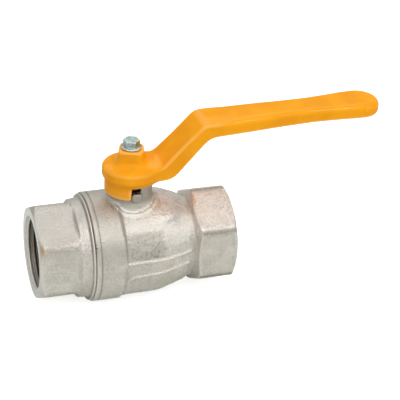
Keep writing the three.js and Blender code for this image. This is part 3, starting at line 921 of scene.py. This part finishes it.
def make_valve_body(material):
    block = Block(body_low, body_high, BODY_STEP)
    solid = soften(valve_body_outside(block), 0.3, block.step, 1)
    for tool in valve_body_hollows(block):
        solid = cut(solid, tool)
    solid = np.maximum(solid, block.x - RIGHT_FACE_X)
    solid = np.maximum(solid, RIM_X - block.x)
    solid = np.maximum(solid, block.z - NECK_TOP_Z)
    field = soften(solid, block.step, block.step, 1)
    field_piece("valve_body_forging", "valve_body", block, field, material, "housing",
                valve_body_marks())


def end_adapter_outside(block):
    """The left hexagon, the ridged collar, the lip and the tail that enters the body."""
    joint_x = RIM_X - JOINT_GAP
    collar = block.turned_x([
        (LEFT_FACE_X + 8, BELOW_AXIS),
        (LEFT_FACE_X + 8, FACE_RING_R),
        (COLLAR_X - 1.2, FACE_RING_R),
        (COLLAR_X, COLLAR_R - 0.3, 0.6),
        (LIP_X - 0.3, COLLAR_R),
        (LIP_X, LIP_R, 0.4),
        (joint_x, LIP_R, 0.2),
        (joint_x, TAIL_R),
        (adapter_high.x, TAIL_R, 0.4),
        (adapter_high.x, BELOW_AXIS),
    ])
    on_collar = window(block.x, COLLAR_X + 1.0, LIP_X - 0.3, 0.3)
    ridges = 0.2 * np.cos(2 * math.pi * (block.x - LIP_X) / RIDGE_PITCH) * on_collar
    outward = block.from_pipe > TAIL_R + 0.5
    hexes = hexagon(block, LEFT_HEX_X, LEFT_FACE_X, LEFT_HEX_FLATS, LEFT_HEX_TWIST,
                    LEFT_HEX_TRIM, LEFT_HEX_SLOPE)
    solid = smooth_union(collar - ridges * outward, hexes, 0.8)
    waves = 0.05 * block.unevenness(7.0, 21) + 0.025 * block.unevenness(1.9, 22)
    return solid + waves + 0.02 * block.unevenness(0.9, 23)


def end_adapter_marks():
    """The same for the end adapter."""
    def rough(x, y, z):
        corners = corner_roughness(x, y, z, LEFT_HEX_TWIST, COLLAR_X, LEFT_FACE_X)
        return 0.75 * corners * (x < COLLAR_X)

    def stained_and_shaded(x, y, z):
        return 0.3 * bead(x - LIP_X + 0.1, 0.3) * (np.hypot(y, z) > COLLAR_R - 0.5)

    # Painted shade, darker towards the top of the adapter.
    def dull(x, y, z):
        return 0.42 * smoothstep(z, 4, 16) * (np.hypot(y, z) > FACE_RING_R - 0.2)

    front_corner = math.radians(30) - LEFT_HEX_TWIST
    worn_places = [(LEFT_FACE_X + 1.3, front_corner, 2.3, 0.75, 1.0)]
    return housing_marks(LEFT_FACE_X, worn_places, rough=rough, stain=stained_and_shaded, dull=dull)


def make_end_adapter(material):
    block = Block((LEFT_FACE_X, -LIP_R, -LIP_R), (adapter_high.x, LIP_R, LIP_R), BODY_STEP)
    solid = soften(end_adapter_outside(block), 0.3, block.step, 1)
    hollow = block.turned_x([
        (adapter_high.x + 2, BELOW_AXIS),
        (adapter_high.x + 2, seat_high.y + FIT),
        *socket_outline(LEFT_FACE_X),
    ])
    solid = cut(cut(solid, hollow), thread_hollow(block, LEFT_FACE_X))
    solid = np.maximum(solid, LEFT_FACE_X - block.x)
    solid = np.maximum(solid, block.x - adapter_high.x)
    field = soften(solid, block.step, block.step, 1)
    field_piece("end_adapter_turned", "end_adapter", block, field, material, "housing",
                end_adapter_marks())


def make_seats(material):
    """PTFE rings cut to the ball's sphere on their inner faces."""
    touch_r = ball_high.y + FIT
    inner_r = PORT_R + FIT
    for side, name in ((-1, "seat_ring_left"), (1, "seat_ring_right")):
        first = math.asin(inner_r / touch_r)
        last = math.acos(seat_low.x / touch_r)
        face = [
            (touch_r * math.sin(a), side * touch_r * math.cos(a))
            for a in np.linspace(first, last, 9)
        ]
        corners = [
            *face,
            (seat_high.y, side * seat_low.x, 0.15),
            (seat_high.y, side * seat_high.x, 0.35),
            (inner_r, side * seat_high.x, 0.35),
        ]
        ring_piece(name + "_ptfe", name, corners, "x", material, "housing")


def make_ball(material):
    """A bored ball with the slot across its top that the stem's tang turns."""
    block = Block(ball_low, ball_high, SMALL_STEP * 2)
    radius = np.sqrt(block.x**2 + block.y**2 + block.z**2)
    sphere = radius - ball_high.y
    port = block.from_pipe - PORT_R
    solid = round_common(sphere, -port, 0.5)
    clear = 30.0
    slot = block.box((-SLOT_HALF_WIDTH, -clear, stem_low.z - FIT), (SLOT_HALF_WIDTH, clear, clear))
    solid = round_common(solid, -slot, 0.2)
    field_piece("ball_chromed", "ball", block, solid, material, "ball")


# Stem and its seals


def make_stem(material):
    """Tang, collar, grooved shaft and, above the neck, a square drilled for the screw."""
    block = Block(stem_low, stem_high, SMALL_STEP)
    collar_top = washer_low.z - FIT
    collar_bottom = collar_top - STEM_COLLAR_THICKNESS
    corners = [
        (collar_bottom, BELOW_AXIS),
        (collar_bottom, STEM_COLLAR_R, 0.3),
        (collar_top, STEM_COLLAR_R, 0.2),
        (collar_top, SHAFT_R),
    ]
    for node in O_RINGS:
        low, high = limits(node)
        middle = (low.z + high.z) / 2
        corners += [
            (middle - GROOVE_HALF_WIDTH, SHAFT_R, 0.15),
            (middle - GROOVE_HALF_WIDTH, GROOVE_R, 0.15),
            (middle + GROOVE_HALF_WIDTH, GROOVE_R, 0.15),
            (middle + GROOVE_HALF_WIDTH, SHAFT_R, 0.15),
        ]
    corners += [(STEM_SHOULDER_Z, SHAFT_R, 0.3), (STEM_SHOULDER_Z, BELOW_AXIS)]
    shaft = block.turned_z(corners)
    square = block.box(
        (-STEM_SQUARE_HALF, -STEM_SQUARE_HALF, STEM_SHOULDER_Z - 1),
        (STEM_SQUARE_HALF, STEM_SQUARE_HALF, stem_high.z),
        0.25,
    )
    crown = block.turned_z([
        (STEM_SHOULDER_Z - 1, BELOW_AXIS),
        (STEM_SHOULDER_Z - 1, STEM_SQUARE_CORNER_R),
        (stem_high.z, STEM_SQUARE_CORNER_R, 0.5),
        (stem_high.z, BELOW_AXIS),
    ])
    tang = block.box(
        (-TANG_HALF_WIDTH, stem_low.y - 2, stem_low.z),
        (TANG_HALF_WIDTH, -stem_low.y + 2, collar_bottom + 0.3),
        0.3,
    )
    radius = block.from_stem
    hole = np.maximum(radius - SCREW_HOLE_R, screw_low.z - 0.6 - block.z)
    solid = np.minimum(shaft, np.maximum(square, crown))
    solid = np.minimum(solid, round_common(tang, radius - TANG_R, 0.3))
    solid = cut(solid, hole)
    field_piece("stem_turned", "stem", block, solid, material, "handle")


def make_stem_seals(ptfe, nitrile):
    """The thrust washer above the collar and an O-ring for each groove."""
    inner_r = SHAFT_R + FIT
    corners = [
        (inner_r, washer_low.z, 0.2),
        (washer_high.x, washer_low.z, 0.2),
        (washer_high.x, washer_high.z, 0.2),
        (inner_r, washer_high.z, 0.2),
    ]
    ring_piece("stem_thrust_washer_ptfe", "stem_thrust_washer", corners, "z", ptfe, "handle")
    for node in O_RINGS:
        low, high = limits(node)
        cord_r = (high.z - low.z) / 2
        middle_r = high.x - cord_r
        middle_z = (low.z + high.z) / 2
        around = np.linspace(0, 2 * math.pi, 20, endpoint=False)
        corners = [(middle_r + cord_r * math.cos(a), middle_z + cord_r * math.sin(a))
                   for a in around]
        ring_piece(node + "_rubber", node, corners, "z", nitrile, "handle")


# Lever handle


def curve(x, points, softness):
    """A height or width along X: straight runs between points, softened at the bends."""
    step = 0.25
    fine = np.arange(-30.0, 140.0, step)
    places, values = zip(*points)
    level = soften(np.interp(fine, places, values), softness, step)
    height = np.interp(x.ravel(), fine, level).reshape(x.shape)
    slope = np.interp(x.ravel(), fine, np.gradient(level, step)).reshape(x.shape)
    return height.astype(np.float32), slope.astype(np.float32)


LEVER_TOP = [(-30, 39.7), (0, 39.7), (12.0, 40.5), (30.3, 59.25), (60, 60.55), (140, 62.85)]
LEVER_BOTTOM = [(-30, 34.2), (17.6, 34.2), (33.6, 52.9), (60, 53.95), (140, 57.1)]
LEVER_HALF_WIDTH = [
    (-30, 9.3), (11, 9.3), (19, 8.35), (28, 8.5), (37, 9.0), (50, 8.5), (65, 7.7), (82, 7.3),
    (95, 8.3), (105, 9.45), (140, 9.6),
]


def lever_arm(block, inset, skin, drop):
    """The arm as three surfaces: its top, its underside and its plan view."""
    top_z, top_slope = curve(block.x, LEVER_TOP, 3.0)
    bottom_z, bottom_slope = curve(block.x, LEVER_BOTTOM, 4.5)
    half, half_slope = curve(block.x, LEVER_HALF_WIDTH, 5.0)
    top = (block.z - top_z) / np.sqrt(1 + top_slope**2) + skin
    bottom = (bottom_z - drop - block.z) / np.sqrt(1 + bottom_slope**2)
    tip_centre = TIP_X - TIP_R
    sides = (np.abs(block.y) - half) / np.sqrt(1 + half_slope**2)
    end = np.sqrt(np.maximum(block.x - tip_centre, 0) ** 2 + block.y**2) - TIP_R
    plan = np.where(block.x > tip_centre, end, sides) + inset
    return top, bottom, plan


def lever_outside(block):
    top, bottom, plan = lever_arm(block, 0.0, 0.0, 0.0)
    draft = 0.05 * (top + 5.0)
    edge_radius = 1.5 + smoothstep(block.x, 34, 46) + smoothstep(block.x, 98, 110)
    upper = round_common(top, plan - draft, edge_radius)
    arm = round_common(upper, bottom, 0.7)
    return round_common(arm, -block.x - 2.0, 1.0)


def lever_channel(block):
    top, bottom, plan = lever_arm(block, WALL, SKIN, 7.0)
    pocket = round_common(np.maximum(top, bottom), plan, 1.2)
    return round_common(pocket, 19.5 - block.x, 2.0)


def hub_and_boss(block):
    """The round hub and the tapered square boss on it that the screw sits on."""
    hub = block.turned_z([
        (HUB_BOTTOM_Z, BELOW_AXIS),
        (HUB_BOTTOM_Z, HUB_R - 0.2, 2.0),
        (HUB_EDGE_Z, HUB_R - 0.2, 1.9),
        (HUB_EDGE_Z + 1.6, 6.0),
        (HUB_EDGE_Z + 1.6, BELOW_AXIS),
    ])
    rise = (block.z - HUB_EDGE_Z) / (BOSS_TOP_Z - HUB_EDGE_Z)
    half = BOSS_HALF_WIDTH - BOSS_TAPER * np.clip(rise, -0.5, 1.2)
    across = np.abs(block.x * math.cos(BOSS_TURN) - block.y * math.sin(BOSS_TURN))
    along = np.abs(block.x * math.sin(BOSS_TURN) + block.y * math.cos(BOSS_TURN))
    squareness = 4.2
    square = (across**squareness + along**squareness) ** (1 / squareness) - half
    boss = round_common(square, block.z - BOSS_TOP_Z, 0.5)
    boss = np.maximum(boss, HUB_BOTTOM_Z + 1 - block.z)
    return smooth_union(hub, boss, 2.8)


def skirt(block):
    """The wall round the neck. Its quarter-turn window lets the stop lug through."""
    wall = block.turned_z([
        (lever_low.z, SKIRT_R - SKIRT_WALL),
        (lever_low.z, SKIRT_R, 0.35),
        (HUB_BOTTOM_Z + 1, SKIRT_R),
        (HUB_BOTTOM_Z + 1, SKIRT_R - SKIRT_WALL),
    ])
    far = block.y * math.cos(WINDOW_MARGIN) - block.x * math.sin(WINDOW_MARGIN)
    near = -block.x * math.cos(WINDOW_MARGIN) + block.y * math.sin(WINDOW_MARGIN)
    opening = np.maximum(np.maximum(near, far), block.z - WINDOW_TOP_Z)
    return round_common(wall, -opening, 0.3)


def make_lever(material):
    """Hub, boss, cranked arm and skirt, hollow below and fitted to the stem's square."""
    block = Block(lever_low, (lever_high.x, HUB_R, lever_high.z), LEVER_STEP)
    solid = smooth_union(lever_outside(block), hub_and_boss(block), 2.5)
    solid = solid + 0.03 * block.unevenness(6.0, 31) + 0.01 * block.unevenness(2.0, 32)
    solid = cut(solid, lever_channel(block))
    solid = smooth_union(solid, skirt(block), 2.2)
    square_half = STEM_SQUARE_HALF + FIT
    socket = block.box(
        (-square_half, -square_half, HUB_BOTTOM_Z - 3),
        (square_half, square_half, stem_high.z + FIT),
    )
    radius = block.from_stem
    corners = radius - STEM_SQUARE_CORNER_R - FIT
    hole = np.maximum(radius - SCREW_HOLE_R, HUB_BOTTOM_Z - block.z)
    solid = cut(cut(solid, np.maximum(socket, corners)), hole)
    field = soften(solid, block.step, block.step, 1)
    field_piece("lever_handle_cast", "lever_handle", block, field, material, "handle")


def make_screw(material):
    """Hexagon head with a flange, and the thread that holds the lever to the stem."""
    block = Block(screw_low, (FLANGE_R, FLANGE_R, SCREW_TOP_Z), SMALL_STEP)
    radius = block.from_stem
    sides = []
    for k in range(3):
        normal = math.radians(60 * k) - BOSS_TURN
        sides.append(np.abs(block.x * math.sin(normal) - block.y * math.cos(normal)))
    prism = np.maximum.reduce(sides) - SCREW_FLATS / 2
    below_top = block.z - SCREW_TOP_Z
    head = round_common(prism, below_top, 0.3)
    slope = math.radians(30)
    chamfer = below_top * math.cos(slope) + (radius - 3.4) * math.sin(slope)
    head = np.maximum(np.maximum(head, chamfer), FLANGE_BOTTOM_Z - block.z)
    flange = block.turned_z([
        (FLANGE_BOTTOM_Z, BELOW_AXIS),
        (FLANGE_BOTTOM_Z, FLANGE_R, 0.2),
        (FLANGE_BOTTOM_Z + 0.45, FLANGE_R, 0.2),
        (FLANGE_BOTTOM_Z + 1.15, 3.3),
        (FLANGE_BOTTOM_Z + 1.15, BELOW_AXIS),
    ])
    phase = (block.z / SCREW_PITCH - np.arctan2(block.y, block.x) / (2 * math.pi)) % 1.0
    crest = np.clip(1.2 * np.abs(2 * phase - 1) - 0.1, 0, 1)
    shank = 0.8 * (radius - 1.5 - 0.4 * crest)
    shank = np.maximum(shank, screw_low.z - block.z)
    shank = np.maximum(shank, block.z - FLANGE_BOTTOM_Z - 0.5)
    point = (radius + screw_low.z - block.z - 1.43) * 0.7
    shank = np.maximum(shank, point)
    solid = smooth_union(np.minimum(shank, flange), head, 0.3)
    field_piece("handle_screw_flanged", "handle_screw", block, solid, material, "handle")


# Studio


def make_floor():
    size = 6.0
    mesh = bpy.data.meshes.new("studio_floor")
    corners = [(-size, -size, 0), (size, -size, 0), (size, size, 0), (-size, size, 0)]
    mesh.from_pydata(corners, [], [(0, 1, 2, 3)])
    mesh.materials.append(floor_look())
    floor = bpy.data.objects.new("studio_floor", mesh)
    floor.location.z = cad_low.z - 0.02 * MM
    bpy.context.scene.collection.objects.link(floor)


def add_softbox(name, location, size, watts):
    """A rectangular light aimed at the middle of the valve."""
    lamp = bpy.data.lights.new(name, "AREA")
    lamp.shape = "RECTANGLE"
    lamp.size, lamp.size_y = size
    lamp.energy = watts
    box = bpy.data.objects.new(name, lamp)
    box.location = location
    box.rotation_mode = "QUATERNION"
    direction = (cad_low + cad_high) / 2 - Vector(location)
    box.rotation_quaternion = direction.to_track_quat("-Z", "Y")
    bpy.context.scene.collection.objects.link(box)


def make_lights():
    """Soft boxes all round, and two small ones that catch the edges."""
    add_softbox("key_softbox", (-0.15, -0.85, 0.95), (0.7, 0.5), 2.5)
    add_softbox("fill_softbox", (0.9, -0.6, 0.5), (0.6, 0.6), 1.5)
    add_softbox("back_softbox", (0.1, 0.9, 0.8), (1.0, 0.4), 1.6)
    add_softbox("right_edge_light", (0.29, -0.46, 0.84), (0.16, 0.16), 1.1)
    add_softbox("left_edge_light", (-0.67, -0.53, 0.55), (0.16, 0.16), 0.7)


def make_sky():
    """Light that grows from the horizon up. The camera sees plain white behind the valve."""
    world = bpy.data.worlds.new("studio")
    bpy.context.scene.world = world
    world.use_nodes = True
    nodes, links = world.node_tree.nodes, world.node_tree.links
    direction = nodes.new("ShaderNodeTexCoord").outputs["Generated"]
    split = nodes.new("ShaderNodeSeparateXYZ")
    ramp = nodes.new("ShaderNodeValToRGB")
    links.new(direction, split.inputs["Vector"])
    links.new(split.outputs["Z"], ramp.inputs["Fac"])
    horizon, zenith = ramp.color_ramp.elements
    horizon.position, horizon.color = 0.0, (0.30, 0.30, 0.295, 1.0)
    zenith.position, zenith.color = 0.8, (1.0, 1.0, 1.0, 1.0)
    middle = ramp.color_ramp.elements.new(0.35)
    middle.color = (0.60, 0.60, 0.595, 1.0)
    background = nodes["Background"]
    links.new(ramp.outputs["Color"], background.inputs["Color"])
    background.inputs["Strength"].default_value = 0.9
    backdrop = nodes.new("ShaderNodeBackground")
    backdrop.inputs["Color"].default_value = (1.0, 1.0, 1.0, 1.0)
    rays = nodes.new("ShaderNodeLightPath")
    choice = nodes.new("ShaderNodeMixShader")
    links.new(rays.outputs["Is Camera Ray"], choice.inputs["Fac"])
    links.new(background.outputs["Background"], choice.inputs[1])
    links.new(backdrop.outputs["Background"], choice.inputs[2])
    links.new(choice.outputs["Shader"], nodes["World Output"].inputs["Surface"])


def make_camera():
    """A long lens a little above the valve, on the side of the left socket."""
    target = CENTRE + Vector((33.09, 0.0, 17.26)) * MM
    distance = 589.66 * MM
    azimuth = math.radians(-19.6)
    elevation = math.radians(29.59)
    roll = math.radians(3.47)
    lens = bpy.data.cameras.new("photo_camera")
    lens.sensor_width = 36.0
    lens.lens = 117.0
    lens.clip_start = 0.01
    camera = bpy.data.objects.new("photo_camera", lens)
    turn = Matrix.Rotation(azimuth, 4, "Z") @ Matrix.Rotation(math.pi / 2 - elevation, 4, "X")
    turn = turn @ Matrix.Rotation(roll, 4, "Z")
    back_off = Matrix.Translation((0, 0, distance))
    camera.matrix_world = Matrix.Translation(target) @ turn @ back_off
    bpy.context.scene.collection.objects.link(camera)
    bpy.context.scene.camera = camera


nickel = nickel_look()
ptfe = ptfe_look()
make_valve_body(nickel)
make_end_adapter(nickel)
make_seats(ptfe)
make_ball(chrome_look())
make_stem(brass_look())
make_stem_seals(ptfe, nitrile_look())
make_lever(orange_look())
make_screw(zinc_look())
make_floor()
make_lights()
make_sky()
make_camera()
bpy.context.scene.view_settings.view_transform = "Standard"
